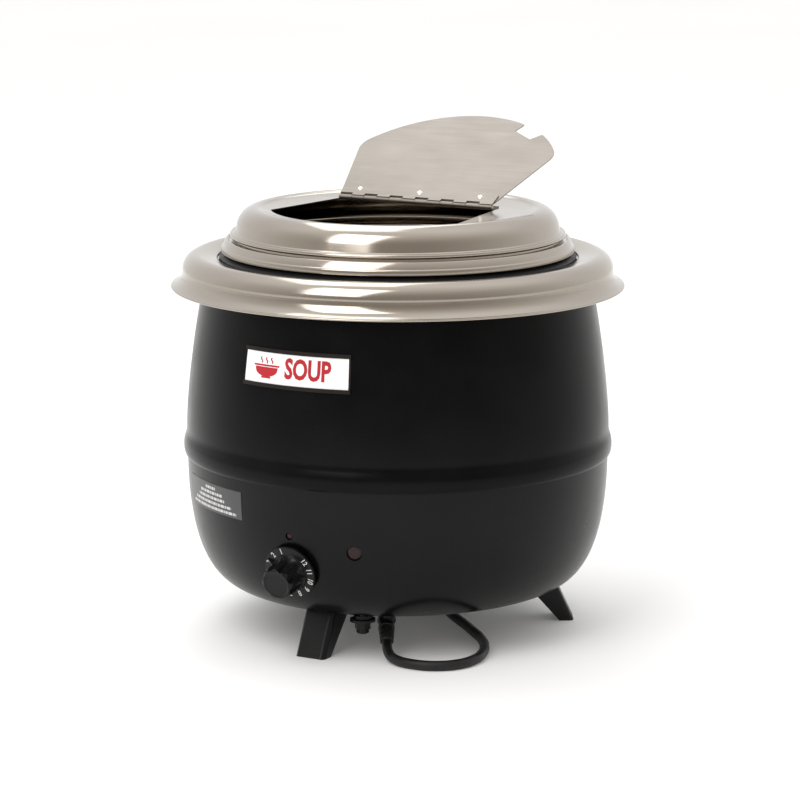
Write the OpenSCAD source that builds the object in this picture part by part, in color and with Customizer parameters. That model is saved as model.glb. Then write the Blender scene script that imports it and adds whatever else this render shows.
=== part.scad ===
// Round electric soup kettle: a two-piece black steel casing on three feet, a stainless top
// ring, a heated water well, a lift-out soup pot, and a stainless lid with a hinged flap.
// Origin on the counter under the kettle's axis, +Z up, the dial faces -Y to within a degree.
// Millimetres.

/* [Pot] */
// Inside radius of the soup pot's straight wall
pot_r = 118.2; // [95:0.1:145]
// Depth of the soup pot from the lid's seat to its floor
pot_depth = 241.2; // [190:0.1:300]
// Thickness of the pot's sheet
pot_t = 0.8; // [0.6:0.1:1.2]
// Radius of the pot's bottom corner
pot_corner_r = 20; // [12:1:30]

/* [Well] */
// Water gap between the pot's wall and the well's wall
water_gap = 13.8; // [10:0.1:20]
// Water gap under the pot
under_gap = 10; // [6:0.5:16]
// Thickness of the well's wall
well_t = 1.2; // [1:0.1:2]
// Width of the well's flange
well_flange_w = 8.8; // [8:0.1:12]

/* [Casing] */
// Air gap between the well and the lower casing
casing_gap = 35.6; // [34:0.1:44]
// Height of the seam above the casing's underside
lower_h = 108.5; // [90:0.5:132]
// Room for the heater between the casing's underside and the well's floor
heater_room = 27.5; // [27:0.5:40]
// How much the upper casing narrows between its bead and the top ring
casing_taper = 13.9; // [8:0.1:15]
// Thickness of the casing's sheet
casing_t = 1; // [0.8:0.1:1.2]
// How far the bead above the seam stands out
bead_out = 2.6; // [1.5:0.1:4]

/* [Top ring] */
// How far the ring's lip stands out past the lower casing
ring_overhang = 11.9; // [10:0.1:16]
// Radius of the ring's round shoulder
ring_shoulder_r = 13; // [10:0.1:16]
// Thickness of the ring's sheet
ring_t = 0.8; // [0.6:0.1:1]

/* [Lid] */
// Height of the lid's flat top above its seat
lid_h = 25; // [21:0.5:32]
// Thickness of the lid's and flap's sheet
lid_t = 0.8; // [0.6:0.1:1]
// How far behind the axis the hinge pin lies
hinge_y = 28.7; // [15:0.1:40]
// Half the hinge's length
hinge_half = 70; // [50:0.5:74]
// Number of hinge knuckles, fixed and moving
knuckles = 12; // [8:2:16]
// Radius of the hinge pin
pin_r = 1; // [0.8:0.05:1.3]
// Angle to which the flap stands open
flap_open = 154.8; // [90:0.1:160]
// Width of the ladle notch at its bottom
notch_w = 22; // [14:0.5:26]
// Depth of the ladle notch
notch_depth = 12; // [8:0.5:16]
// Direction of the ladle notch from the front towards +X
notch_az = 31.6; // [10:0.1:35]

/* [Stand] */
// Height of the casing's underside above the counter
stand_h = 32.5; // [31:0.5:42]
// Width of a foot
foot_w = 26; // [20:0.5:32]
// Thickness of a foot's pad, measured outwards
foot_pad_t = 12; // [10:0.5:16]

/* [Controls] */
// Height of the dial above the casing's underside
dial_up = 42.6; // [36:0.1:50]
// Radius of the dial's skirt
dial_r = 21.8; // [19:0.1:26]
// Height of the dial's grip in front of its skirt
grip_h = 20.5; // [14:0.5:22]
// Radius of the dial's spindle
spindle_r = 3; // [2.5:0.05:3.5]
// Radius of the pilot lamp's lens
lamp_r = 5.8; // [4:0.1:6.5]
// Radius of the small heating lamp's lens
small_lamp_r = 2.8; // [2:0.1:3.5]

/* [Labels] */
// Length of the name card along the casing
card_l = 91; // [60:1:110]
// Visible height of the name card
card_h = 23.5; // [16:0.5:28]

/* [Hidden] */
$fn = 96;

// --- clearances ---
fit = 0.05;          // a pin or shaft in its bore, all round
gap = 0.3;           // between pieces that move apart
eps = 0.01;          // overlap of cutting shapes

// --- heights, from the counter up ---
well_floor_z = stand_h + heater_room;
pot_floor_z = well_floor_z + under_gap + pot_t;
seat_z = pot_floor_z + pot_depth;
flange_drop = 15.8;                       // from the lid's seat to the casing's top flange
flange_z = seat_z - flange_drop;
seam_z = stand_h + lower_h;
lip_z = flange_z - 19.8;                  // the ring's outer lip
lid_top_z = seat_z + lid_h;
pin_z = lid_top_z + 1.9;

// --- radii, from the pot out ---
well_r = pot_r + pot_t + water_gap;       // inside the well
well_ro = well_r + well_t;
hole_r = well_ro + well_flange_w + 1.2;   // the ring's hole
rim_r = hole_r - 3;                       // the pot's rim
seat_r = hole_r - 9;                      // the step that centres the lid
ledge_r = hole_r - 6;                     // inner edge of the ring's and casing's ledges
lid_r = seat_r - 0.8;                     // the lid's rolled edge
casing_r = well_ro + casing_gap;          // lower casing under the seam
ring_r = casing_r + ring_overhang;

// --- profile helpers ---
function arc(c, r, a0, a1, n) =
    [for (i = [0:n]) let (a = a0 + (a1 - a0) * i / n) c + r * [cos(a), sin(a)]];
function unit(v) = v / norm(v);
function edge_normal(a, b) = let (d = unit(b - a)) [d[1], -d[0]];
// Offset of point i of an open outline to its right-hand side, mitred at corners.
function mitre(p, i) =
    let (n0 = edge_normal(p[max(i - 1, 0)], p[max(i, 1)]),
         n1 = edge_normal(p[min(i, len(p) - 2)], p[min(i + 1, len(p) - 1)]),
         m = unit(n0 + n1))
    m / (m * n0);
// A closed outline of sheet thickness t on the right-hand side of an open one.
function sheet(p, t) =
    concat(p, [for (i = [len(p) - 1:-1:0]) p[i] + t * mitre(p, i)]);

module turned(p) {
    rotate_extrude()
        polygon(p);
}

// Turns the drawing in the front plane (-Y) to the direction az towards +X.
module at_az(az) {
    rotate([0, 0, az])
        children();
}

// --- casing shape ---
bowl_corner_w = 69.6;                     // width of the bowl's rounded corner
bowl_flat_r = casing_r - bowl_corner_w;
bowl_top_z = seam_z + 4;
bowl_n = 3.54;
bowl_m = 2.3;
function bowl_r(z, flat_r, corner_w, low_z) =
    let (t = min(1, max(0, (bowl_top_z - z) / (bowl_top_z - low_z))))
    flat_r + corner_w * pow(1 - pow(t, bowl_m), 1 / bowl_n);
function lower_r(z) = bowl_r(z, bowl_flat_r, bowl_corner_w, stand_h);
// Angle by which the lower casing's surface faces downwards at height z.
function lower_tilt(z) = atan((lower_r(z + 1) - lower_r(z - 1)) / 2);

upper_r0 = casing_r + 0.5;
taper_z = seam_z + 24;
function upper_r(z) =
    upper_r0 - casing_taper * pow(max(0, z - taper_z) / (lip_z - taper_z), 1.5);

bowl_steps = 16;
lower_top_z = seam_z + 14.5;
// The bowl's curve from its top to its flat floor, close-set where it bends.
function bowl_curve(flat_r, corner_w, low_z) =
    [for (i = [0:bowl_steps])
        let (z = low_z + (bowl_top_z - low_z) * (1 - sin(90 * i / bowl_steps)))
        [bowl_r(z, flat_r, corner_w, low_z), z]];
function lower_outer() = concat([[casing_r, lower_top_z]],
    bowl_curve(bowl_flat_r, bowl_corner_w, stand_h), [[0, stand_h]]);
function lower_inner() = concat([[casing_r - casing_t, lower_top_z]],
    bowl_curve(bowl_flat_r, bowl_corner_w - casing_t, stand_h + casing_t),
    [[0, stand_h + casing_t]]);

// Everything inside the lower casing's outer surface, to trim the feet.
module bowl_solid() {
    turned(concat([[0, lower_top_z]], lower_outer()));
}

// Stands children on the lower casing in direction az at height z, +Z pointing outwards.
module on_bowl(az, z) {
    at_az(az)
        translate([0, -lower_r(z), z])
            rotate([90 + lower_tilt(z), 0, 0])
                children();
}

// --- places ---
dial_z = stand_h + dial_up;
dial_az = -1;                             // the dial and small lamp stand a little aside
lamp_az = 17.4;
lamp_z = dial_z + 18;
small_lamp_z = dial_z + 27.2;
stud_r = 3;
stud_pcr = well_r - 14.8;                 // circle of the tie studs
stud_az = [15.5, 135.5, 255.5];
foot_az = [0, 120, 240];
foot_screw_pcr = casing_r - 57.6;
foot_screw_r = 2;
gland_at = [39, -89];
boot_end = [50, -108, 11];
gland_r = 7;

// Holes for the thermostat's screws either side of the spindle.
fixing_x = 14;
fixing_r = 1.95;

// --- casing ---
module upper_casing() {
    flange_round = 6;
    wall_top_r = upper_r0 - casing_taper - 1.6;
    outline = concat(
        [[casing_r + gap + casing_t, seam_z],
         [casing_r + gap + casing_t + 1, seam_z + 1.5],
         [upper_r0 + bead_out - 0.1, seam_z + 4.5],
         [upper_r0 + bead_out, seam_z + 7.5],
         [upper_r0 + bead_out - 0.3, seam_z + 11],
         [upper_r0 + bead_out - 1, seam_z + 14],
         [upper_r0 + 0.5, seam_z + 17],
         [upper_r0, seam_z + 20]],
        [for (i = [0:10]) let (z = taper_z + (lip_z - taper_z) * i / 10) [upper_r(z), z]],
        arc([wall_top_r - flange_round, flange_z - flange_round], flange_round, 0, 90, 5),
        [[ledge_r, flange_z]]);
    color("#1a1a1c")
        turned(sheet([for (i = [len(outline) - 1:-1:0]) outline[i]], casing_t));
}

module lower_casing() {
    inner = lower_inner();
    color("#19191b")
        difference() {
            turned(concat(lower_outer(), [for (i = [len(inner) - 1:-1:0]) inner[i]]));
            on_bowl(dial_az, dial_z) {
                translate([0, 0, -8])
                    cylinder(r = spindle_r + 2.5, h = 16);
                for (x = [-fixing_x, fixing_x])
                    translate([x, 0, -8])
                        cylinder(r = fixing_r + 0.2, h = 16);
            }
            on_bowl(lamp_az, lamp_z)
                translate([0, 0, -8])
                    cylinder(r = lamp_r + 0.3, h = 16);
            on_bowl(dial_az, small_lamp_z)
                translate([0, 0, -8])
                    cylinder(r = small_lamp_r + 0.3, h = 16);
            for (az = stud_az)
                at_az(az)
                    translate([0, -stud_pcr, stand_h - 1])
                        cylinder(r = stud_r + 0.3, h = 5);
            for (az = foot_az)
                at_az(az)
                    translate([0, -foot_screw_pcr, stand_h - 1])
                        cylinder(r = foot_screw_r + 0.3, h = 5);
            translate([gland_at[0], gland_at[1], stand_h - 1])
                cylinder(r = gland_r + 0.2, h = 5);
        }
}

module top_ring() {
    shoulder = ring_r - 9;
    arc_r = shoulder - ring_shoulder_r;
    arc_z = flange_z + 6.3 - ring_shoulder_r;
    outline = concat(
        [[ring_r, lip_z], [ring_r - 5, lip_z + 2.6], [ring_r - 7.4, lip_z + 5.2]],
        arc([arc_r, arc_z], ring_shoulder_r, 0, 90, 12),
        [[hole_r + 2, flange_z + 4.1], [hole_r + 0.9, flange_z + 3.5],
         [hole_r + 0.3, flange_z + 2.8], [hole_r, flange_z + 2],
         [hole_r, flange_z + ring_t], [ledge_r, flange_z + ring_t]]);
    color("#c9c6c2")
        union() {
            turned(sheet([for (i = [len(outline) - 1:-1:0]) outline[i]], ring_t));
            rotate_extrude()
                translate([ring_r - ring_t, lip_z - ring_t / 4])
                    circle(r = ring_t, $fn = 24);
        }
}

// --- well and heater ---
well_corner_r = 20;
rim_top_z = seat_z - pot_t - gap;
well_low_z = well_floor_z - well_t;

module water_well() {
    flange_low = flange_z + ring_t + 1.5;
    flange_out = hole_r - 1.2;
    inside = concat([[well_r, rim_top_z]],
        arc([well_r - well_corner_r, well_floor_z + well_corner_r], well_corner_r, 0, -90, 6),
        [[0, well_floor_z]]);
    outside = concat([[0, well_low_z]],
        arc([well_r - well_corner_r, well_floor_z + well_corner_r],
            well_corner_r + well_t, -90, 0, 6),
        [[well_ro, flange_low], [flange_out, flange_low], [flange_out, flange_low + 1],
         [well_ro + 2, flange_low + 5], [well_ro, flange_low + 8], [well_ro, rim_top_z]]);
    color("#232323")
        turned(concat(inside, outside));
}

module well_gasket() {
    color("#101010")
        translate([0, 0, flange_z + ring_t])
            difference() {
                cylinder(r = hole_r - 1.2, h = 1.5);
                translate([0, 0, -eps])
                    cylinder(r = ledge_r + 0.2, h = 2);
            }
}

// Threaded bosses welded under the well's corner, for the tie studs.
lug_h = 9;
lug_low_z = well_floor_z - lug_h;
module well_lugs() {
    color("#8d8f92")
        difference() {
            for (az = stud_az)
                at_az(az)
                    translate([0, -stud_pcr, lug_low_z])
                        cylinder(r = 7, h = lug_h + 6);
            turned(concat([[0, seat_z]], [[well_ro, seat_z]],
                arc([well_r - well_corner_r, well_floor_z + well_corner_r],
                    well_corner_r + well_t, 0, -90, 6), [[0, well_low_z]]));
            for (az = stud_az)
                at_az(az)
                    translate([0, -stud_pcr, lug_low_z - eps])
                        cylinder(r = stud_r + fit, h = 7);
        }
}

washer_r = 10;
nut_low_z = stand_h - 15;
module tie_studs() {
    color("#9a9c9f")
        for (az = stud_az)
            at_az(az)
                translate([0, -stud_pcr, nut_low_z + 3])
                    cylinder(r = stud_r, h = lug_low_z + 6 - nut_low_z - 3);
}

// Rubber washer, flanged washer and domed nut under each tie stud.
module tie_nuts() {
    color("#202022")
        for (az = stud_az)
            at_az(az)
                translate([0, -stud_pcr, 0])
                    difference() {
                        union() {
                            translate([0, 0, stand_h - 3])
                                cylinder(r = 7, h = 2.9);
                            translate([0, 0, stand_h - 5])
                                cylinder(r = washer_r, h = 2);
                            translate([0, 0, stand_h - 11])
                                cylinder(r = 6.4, h = 6, $fn = 6);
                            translate([0, 0, nut_low_z + 1])
                                cylinder(r = 5, h = 4);
                            translate([0, 0, nut_low_z])
                                cylinder(r1 = 3.4, r2 = 5, h = 1);
                        }
                        translate([0, 0, nut_low_z + 3 - fit])
                            cylinder(r = stud_r + fit, h = 20);
                    }
}

spreader_t = 2;
element_r = 4;
element_pcr = 75;
spreader_z = well_low_z - spreader_t;
element_z = spreader_z - element_r - 0.1;
clamp_z = element_z - element_r - 1.6;
clamp_t = 1.5;
cutout_at = [-32, 8];
cutout_r = 9;

module heat_spreader() {
    color("#b4b6b8")
        translate([0, 0, spreader_z])
            difference() {
                cylinder(r = element_pcr + 18, h = spreader_t);
                translate([0, 0, -eps])
                    cylinder(r = stud_r + 0.2, h = spreader_t + 1);
            }
}

element_gap = 30;                         // angle left open for the two terminals
module heating_element() {
    color("#6d6a66") {
        rotate([0, 0, 90 + element_gap / 2])
            rotate_extrude(angle = 360 - element_gap)
                translate([element_pcr, element_z])
                    circle(r = element_r, $fn = 32);
        for (side = [-1, 1])
            rotate([0, 0, 90 + side * element_gap / 2])
                translate([element_pcr, 0, element_z - 11])
                    cylinder(r = 2.5, h = 11);
    }
}

module element_clamp() {
    color("#a5a7aa")
        translate([0, 0, clamp_z])
            difference() {
                cylinder(r = element_pcr + 7, h = clamp_t);
                translate([0, 0, -eps])
                    cylinder(r = stud_r + 0.2, h = 3);
                translate([cutout_at[0], cutout_at[1], -eps])
                    cylinder(r = cutout_r + 2, h = 3);
                for (side = [-1, 1])
                    rotate([0, 0, 90 + side * element_gap / 2])
                        translate([element_pcr, 0, -eps])
                            cylinder(r = 5, h = 3);
            }
}

// Centre stud welded to the well's floor, with the nut that holds the clamp.
module clamp_nut() {
    color("#8d8f92") {
        translate([0, 0, clamp_z - 7])
            cylinder(r = stud_r, h = well_low_z - clamp_z + 7);
        translate([0, 0, clamp_z - 5])
            cylinder(r = 5.8, h = 5, $fn = 6);
    }
}

module thermal_cutout() {
    color("#2b2622")
        translate([cutout_at[0], cutout_at[1], spreader_z - 9]) {
            cylinder(r = cutout_r, h = 9);
            for (x = [-4, 4])
                translate([x - 0.4, -3, -5])
                    cube([0.8, 6, 5 + eps]);
        }
}

// --- thermostat, dial and lamps ---
body_front = -6;
body_back = -24;
module thermostat() {
    color("#d8d2c4")
        on_bowl(dial_az, dial_z)
            difference() {
                union() {
                    translate([-18, -19, body_back])
                        cube([36, 38, body_front - body_back]);
                    cylinder_up(spindle_r + 2, body_front, -1.8);
                }
                translate([0, 0, body_front - 13])
                    cylinder(r = spindle_r + fit, h = 30);
                for (x = [-fixing_x, fixing_x])
                    translate([x, 0, body_front - 6])
                        cylinder(r = fixing_r + fit, h = 10);
            }
}

// A cylinder from height z0 to height z1.
module cylinder_up(r, z0, z1) {
    translate([0, 0, z0])
        cylinder(r = r, h = z1 - z0);
}

module thermostat_bracket() {
    color("#9a9c9f")
        on_bowl(dial_az, dial_z)
            difference() {
                translate([-19, -7, body_front])
                    cube([38, 14, 1.5]);
                cylinder_up(spindle_r + 2 + fit, body_front - 1, 0);
                for (x = [-fixing_x, fixing_x])
                    translate([x, 0, body_front - 1])
                        cylinder(r = fixing_r + fit, h = 4);
            }
}

module thermostat_screws() {
    color("#8d8f92")
        on_bowl(dial_az, dial_z)
            for (x = [-fixing_x, fixing_x])
                translate([x, 0, 0]) {
                    cylinder_up(fixing_r, body_front - 5.5, 0.3);
                    cylinder_up(3.4, 0.1, 1.4);
                }
}

skirt_back = 2;
skirt_t = 3;
grip_z = skirt_back + skirt_t;
module dial_spindle() {
    color("#b4b6b8")
        on_bowl(dial_az, dial_z)
            cylinder_up(spindle_r, body_front - 12, grip_z + 9);
}

flutes = 8;
grip_base_r = 14.5;
grip_tip_r = 12.5;
module dial() {
    color("#141415")
        on_bowl(dial_az, dial_z)
            difference() {
                union() {
                    cylinder_up(dial_r, skirt_back, skirt_back + skirt_t - 1);
                    translate([0, 0, skirt_back + skirt_t - 1])
                        cylinder(r1 = dial_r, r2 = dial_r - 1.2, h = 1);
                    difference() {
                        union() {
                            translate([0, 0, grip_z - eps])
                                cylinder(r1 = grip_base_r, r2 = grip_tip_r, h = grip_h - 1);
                            translate([0, 0, grip_z + grip_h - 1 - 2 * eps])
                                cylinder(r1 = grip_tip_r, r2 = grip_tip_r - 1, h = 1);
                        }
                        for (i = [0:flutes - 1])
                            rotate([0, 0, 360 * (i + 0.5) / flutes])
                                translate([grip_base_r + 1.8, 0, grip_z])
                                    cylinder(r = 3.4, h = grip_h + 1);
                    }
                }
                cylinder_up(spindle_r + fit, skirt_back - 1, grip_z + 9.2);
            }
}

// Lens of a pilot lamp: a domed window in the casing's hole with a flange behind it.
module lens(r) {
    rotate_extrude()
        polygon([[0, -3.6], [r + 1.4, -3.6], [r + 1.4, -2.2], [r, -2.2], [r, -1.3],
                 [r * 0.8, -0.8], [r * 0.45, -0.5], [0, -0.4]]);
}

// Holder of a pilot lamp behind its lens, with two tabs for the leads.
module lamp_body(r, depth) {
    cylinder_up(r + 0.6, -3.6 - depth, -3.6);
    for (x = [-r * 0.5, r * 0.5])
        translate([x - 0.4, -1.5, -3.6 - depth - 5])
            cube([0.8, 3, 5 + eps]);
}

module pilot_lens() {
    color("#7a2f28")
        on_bowl(lamp_az, lamp_z)
            lens(lamp_r);
}

module pilot_body() {
    color("#e4e0d6")
        on_bowl(lamp_az, lamp_z)
            lamp_body(lamp_r, 12);
}

module small_lens() {
    color("#8a3a32")
        on_bowl(dial_az, small_lamp_z)
            lens(small_lamp_r);
}

module small_lamp_body() {
    color("#e4e0d6")
        on_bowl(dial_az, small_lamp_z)
            lamp_body(small_lamp_r, 10);
}

// --- feet ---
foot_mid_r = casing_r - 32.1;             // middle of the pad
foot_pad_out = foot_mid_r + foot_pad_t / 2;
foot_pad_in = foot_mid_r - foot_pad_t / 2;
foot_lean_out = 25;                       // lean of the outer face from upright
foot_lean_in = 42;                        // lean of the inner face
foot_edge_r = 4;
foot_reach_z = stand_h + 12;

// One foot, splayed outwards in the front direction, its top cut to the bowl.
module foot() {
    difference() {
        intersection() {
            rotate([90, 0, 90])
                translate([0, 0, -foot_w / 2])
                    linear_extrude(foot_w)
                        polygon([[-foot_pad_out + 1, 0], [-foot_pad_out, 1],
                                 [-foot_pad_out + foot_reach_z * tan(foot_lean_out),
                                  foot_reach_z],
                                 [-foot_pad_in + foot_reach_z * tan(foot_lean_in),
                                  foot_reach_z],
                                 [-foot_pad_in, 0]]);
            // the outer face's upright edges are rounded
            translate([0, -foot_pad_out, 0])
                rotate([-foot_lean_out, 0, 0])
                    translate([0, 0, -12])
                        linear_extrude(foot_reach_z + 24)
                            foot_plan();
        }
        bowl_solid();
        translate([0, -foot_screw_pcr, stand_h - 15])
            cylinder(r = foot_screw_r + fit, h = 20);
    }
}

module foot_plan() {
    for (x = [-1, 1])
        translate([x * (foot_w / 2 - foot_edge_r), foot_edge_r])
            circle(r = foot_edge_r, $fn = 32);
    translate([-foot_w / 2 + foot_edge_r, 0])
        square([foot_w - 2 * foot_edge_r, 60]);
    translate([-foot_w / 2, foot_edge_r])
        square([foot_w, 60 - foot_edge_r]);
}

module foot_front() {
    color("#121213")
        at_az(foot_az[0])
            foot();
}

module foot_rear_right() {
    color("#121213")
        at_az(foot_az[1])
            foot();
}

module foot_rear_left() {
    color("#121213")
        at_az(foot_az[2])
            foot();
}

module foot_screws() {
    color("#8d8f92")
        for (az = foot_az)
            at_az(az)
                translate([0, -foot_screw_pcr, 0]) {
                    cylinder_up(foot_screw_r, stand_h - 14, stand_h + casing_t + 1.4);
                    cylinder_up(4, stand_h + casing_t + 0.9, stand_h + casing_t + 3.5);
                }
}

// --- supply cord ---
cord_r = 4;
cord_sides = 10;
elbow_z = stand_h - 8.5;
elbow_r = 7.5;
elbow = [gland_at[0], gland_at[1], elbow_z];
boot_dir = unit(boot_end - elbow);
boot_len = norm(boot_end - elbow);
boot_from = 6;                            // distance from the elbow's middle to the boot

// Turns +Z to the direction d.
module along(d) {
    rotate([0, acos(d[2] / norm(d)), atan2(d[1], d[0])])
        children();
}

module cord_gland() {
    color("#151516")
        difference() {
            union() {
                translate([gland_at[0], gland_at[1], 0]) {
                    cylinder_up(gland_r, elbow_z, stand_h + casing_t + 8);
                    cylinder_up(gland_r + 4, stand_h - 3, stand_h);
                }
                translate(elbow)
                    sphere(r = elbow_r);
            }
            translate(elbow)
                along(boot_dir)
                    cylinder_up(elbow_r + 2, boot_from, 30);
            translate([gland_at[0], gland_at[1], 0])
                cylinder_up(3, elbow_z + 3, stand_h + casing_t + 10);
        }
}

module gland_nut() {
    color("#1c1c1d")
        translate([gland_at[0], gland_at[1], stand_h + casing_t + 0.2])
            difference() {
                cylinder(r = 11.5, h = 5, $fn = 6);
                translate([0, 0, -eps])
                    cylinder(r = gland_r + fit, h = 6);
            }
}

// Ribbed, tapered sleeve moulded on the lead where it leaves the gland.
module cord_boot() {
    boot_l = boot_len - boot_from;
    color("#131314")
        translate(elbow)
            along(boot_dir)
                translate([0, 0, boot_from])
                    rotate_extrude()
                        polygon([[0, 0], [6.8, 0], [6.8, boot_l * 0.25],
                                 [6.1, boot_l], [0, boot_l]]);
}

// Route of the lead from its boot to the coil, along its middle.
lead_route = [
    [50, -108, 11], [57, -118, 6.5], [68, -127, 4.4], [86, -131, 4], [103, -127, 4],
    [116, -115, 4], [121, -97, 4], [118, -77, 4], [110, -58, 4], [98, -40, 4], [82, -23, 4],
    [66, -7, 4], [50, 8, 4], [36, 22, 4], [24, 37, 4], [15, 52, 4]];
// Route from the coil to the back of the plug.
tail_route = [
    [10, 55, 12.6], [10, 66, 12.4], [9, 80, 8.6], [7, 95, 4.8], [2, 112, 4],
    [-8, 127, 4.8], [-22, 139, 9.5], [-37, 147, 15.5], [-50, 149, 18]];
coil_at = [-38, 48];
coil_mean_r = 44;

// Ring i of a swept tube: across the direction of travel, level at the sides.
function travel(p, i) = unit(p[min(i + 1, len(p) - 1)] - p[max(i - 1, 0)]);
function ring_points(p, i, r, n) =
    let (t = i == 0 ? boot_or_travel(p) : travel(p, i),
         side = unit(cross([0, 0, 1], t)),
         up = cross(t, side))
    [for (k = [0:n - 1])
        p[i] + r * (cos(360 * k / n) * side + sin(360 * k / n) * up)];
function boot_or_travel(p) = p[0] == boot_end ? boot_dir : travel(p, 0);

module swept_tube(p, r, n) {
    points = [for (i = [0:len(p) - 1]) each ring_points(p, i, r, n)];
    sides = [for (i = [0:len(p) - 2], k = [0:n - 1])
        [i * n + k, i * n + (k + 1) % n, (i + 1) * n + (k + 1) % n, (i + 1) * n + k]];
    ends = [[for (k = [n - 1:-1:0]) k], [for (k = [0:n - 1]) (len(p) - 1) * n + k]];
    polyhedron(points, concat(sides, ends));
}

module cord_lead() {
    color("#161617")
        swept_tube(lead_route, cord_r, cord_sides);
}

module cord_tail() {
    color("#161617")
        swept_tube(tail_route, cord_r, cord_sides);
}

// Two turns beside each other, two layers high.
module cord_coil() {
    low = coil_mean_r - 2 * cord_r;
    high = coil_mean_r + 2 * cord_r;
    color("#161617")
        translate([coil_at[0], coil_at[1], 0])
            rotate_extrude()
                polygon([[low + 2, 0], [high - 2, 0], [high, 2], [high, 4 * cord_r - 2],
                         [high - 2, 4 * cord_r], [low + 2, 4 * cord_r],
                         [low, 4 * cord_r - 2], [low, 2]]);
}

plug_r = 18;
plug_l = 44;
module plug_body() {
    color("#151516")
        translate([tail_route[8][0], tail_route[8][1], plug_r])
            rotate([0, -90, 0])
                rotate_extrude()
                    polygon([[0, 0], [6, 0], [7.5, 14], [12, 18], [15.5, 22],
                             [17, 27], [plug_r, 32], [plug_r, plug_l], [0, plug_l]]);
}

module plug_pins() {
    pin_l = 19;
    color("#c8c4ba")
        translate([tail_route[8][0] - plug_l, tail_route[8][1], plug_r])
            rotate([0, -90, 0])
                for (y = [-9.5, 9.5])
                    translate([0, y, 0]) {
                        cylinder(r = 2.4, h = pin_l - 2);
                        translate([0, 0, pin_l - 2])
                            cylinder(r1 = 2.4, r2 = 1.2, h = 2);
                    }
}

// --- wiring inside the bowl ---
block_at = [62, -62];
block_size = [26, 14, 12];
bowl_floor_z = stand_h + casing_t;
module terminal_block() {
    color("#ddd8cc")
        translate([block_at[0], block_at[1], bowl_floor_z + block_size[2] / 2])
            rotate([0, 0, 45])
                difference() {
                    cube(block_size, center = true);
                    for (x = [-8, 0, 8])
                        translate([x, 0, 2])
                            cylinder(r = 2, h = 10);
                }
}

// Routes of the leads: supply, the element's two terminals, and the thermostat.
wire_r = 1.2;
wire_low = bowl_floor_z + 2;
supply_route = [
    [39, -89, 42.4], [41, -85, 44.5], [45, -80, 43], [49, -76, 40.5], [51.8, -73.4, 39]];
element_routes = [for (side = [-1, 1])
    let (x = side * element_pcr * sin(element_gap / 2),
         y = element_pcr * cos(element_gap / 2))
    [[60 + 3 * side, -47, wire_low + 2], [52 + 3 * side, -34, wire_low],
     [46 + 4 * side, -12, wire_low], [36 + 5 * side, 22, wire_low],
     [x + 0.35 * (36 + 5 * side - x), y - 18, wire_low],
     [x + 1, y - 5, wire_low + 0.8], [x, y, element_z - 12.6]]];
thermostat_route = [
    [51, -60, wire_low + 1], [38, -66, wire_low], [20, -88, wire_low + 1],
    [6, -108, wire_low + 8], [0, -124, dial_z - 22]];
module wiring() {
    color("#8c3b2e") {
        swept_tube(supply_route, wire_r, 8);
        for (route = element_routes)
            swept_tube(route, wire_r, 8);
        swept_tube(thermostat_route, wire_r, 8);
    }
}

// --- cards and labels ---
holder_mid_z = stand_h + lower_h + 90.8;
holder_gap = 0.15;
holder_t = 0.5;
card_t = 0.4;
rail_h = 3;
card_hidden = 2.4;                        // card tucked under each rail

// The upper casing's outline between two heights, d off its surface.
function upper_strip(z0, z1, d, n) =
    [for (i = [0:n]) let (z = z0 + (z1 - z0) * i / n) [upper_r(z) + d, z]];

// A strip of sheet round the axis, centred on direction az and l long.
module wrapped(points, az, l, r) {
    half = l / r * 90 / PI;
    rotate([0, 0, az - 90 - half])
        rotate_extrude(angle = 2 * half)
            polygon(points);
}

module card_holder() {
    low = holder_mid_z - card_h / 2 - rail_h;
    high = holder_mid_z + card_h / 2 + rail_h;
    face = 3 * holder_gap + holder_t + card_t;
    back = [for (i = [4:-1:0]) upper_strip(low, high, holder_gap, 4)[i]];
    color("#1d1716") {
        wrapped(sheet(back, -holder_t), 0, card_l + 3, casing_r - 6);
        for (edge = [[low, 1], [high, -1]])
            wrapped([[upper_r(edge[0]) + holder_gap, edge[0]],
                     [upper_r(edge[0]) + face + holder_t, edge[0]],
                     [upper_r(edge[0] + edge[1] * rail_h) + face + holder_t,
                      edge[0] + edge[1] * rail_h],
                     [upper_r(edge[0] + edge[1] * rail_h) + face,
                      edge[0] + edge[1] * rail_h],
                     [upper_r(edge[0] + edge[1] * 0.5) + face, edge[0] + edge[1] * 0.5],
                     [upper_r(edge[0] + edge[1] * 0.5) + holder_gap,
                      edge[0] + edge[1] * 0.5]],
                    0, card_l + 3, casing_r - 6);
    }
}

module name_card() {
    low = holder_mid_z - card_h / 2 - card_hidden;
    high = holder_mid_z + card_h / 2 + card_hidden;
    off = 2 * holder_gap + holder_t;
    strip = [for (i = [4:-1:0]) upper_strip(low, high, off, 4)[i]];
    color("#f2f0ec")
        wrapped(sheet(strip, -card_t), 0, card_l, casing_r - 6);
}

label_az = -31.4;
label_l = 86;
label_low = seam_z - 32.5;
label_high = seam_z - 10;
label_t = 0.2;
module rating_label() {
    strip = [for (i = [4:-1:0])
        let (z = label_low + (label_high - label_low) * i / 4) [lower_r(z) + 0.05, z]];
    color("#3a3b3e")
        wrapped(sheet(strip, -label_t), label_az, label_l, casing_r);
}

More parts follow.
